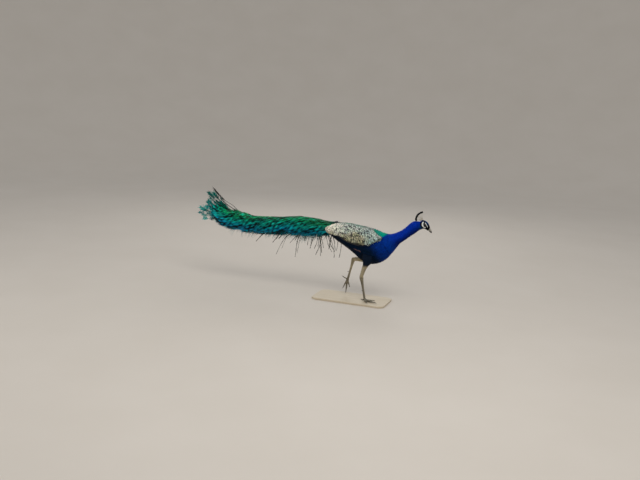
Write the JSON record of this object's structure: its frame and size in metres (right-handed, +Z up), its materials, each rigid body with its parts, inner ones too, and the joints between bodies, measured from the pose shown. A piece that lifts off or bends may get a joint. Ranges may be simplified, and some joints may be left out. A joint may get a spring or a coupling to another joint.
{
  "type": "peacock",
  "caption": "Life-size still figure of a walking peacock, neck stretched forward and train carried level behind, standing on a flat display base.",
  "frame": {"origin": "middle of the whole figure's box, at the underside of the display base", "axes": "+X the way the bird walks, +Y its left, +Z up"},
  "size_m": [1.6834, 0.25, 0.6748],
  "materials": {
    "blue_plumage": "glossy blue feathers over skin",
    "dark_plumage": "blue-black feathers over skin, blue on the breast and green on the mantle",
    "crest_feathers": "thin pale shafts with dark blue-green tips",
    "train_feathers": "metallic green barbs with dark forked ends",
    "tail_feathers": "dull brown",
    "barred_feathers": "cream barred with black",
    "primary_feathers": "chestnut",
    "thigh_plumage": "buff, blue-black above",
    "leg_scales": "grey-brown scutes",
    "horn": "satin horn",
    "eye": "wet gloss, dark brown",
    "stand_board": "matte sand-coloured paint"
  },
  "bodies": {
    "root": {"head": "blue_plumage", "neck_upper": "blue_plumage", "neck_lower": "blue_plumage", "trunk": "dark_plumage", "crest": "crest_feathers", "train_base": "train_feathers", "train_middle": "train_feathers", "train_end": "train_feathers", "tail": "tail_feathers", "wing_left": "barred_feathers", "wing_right": "barred_feathers", "primaries_left": "primary_feathers", "primaries_right": "primary_feathers", "thigh_left": "thigh_plumage", "thigh_right": "thigh_plumage", "shank_left": "leg_scales", "shank_right": "leg_scales", "foot_left": "leg_scales", "foot_right": "leg_scales", "bill_upper": "horn", "bill_lower": "horn", "claw_middle_left": "horn", "claw_middle_right": "horn", "claw_inner_left": "horn", "claw_inner_right": "horn", "claw_outer_left": "horn", "claw_outer_right": "horn", "claw_hind_left": "horn", "claw_hind_right": "horn", "spur_right": "horn", "spur_left": "horn", "eye_left": "eye", "eye_right": "eye", "stand_base": "stand_board"}
  },
  "joints": []
}
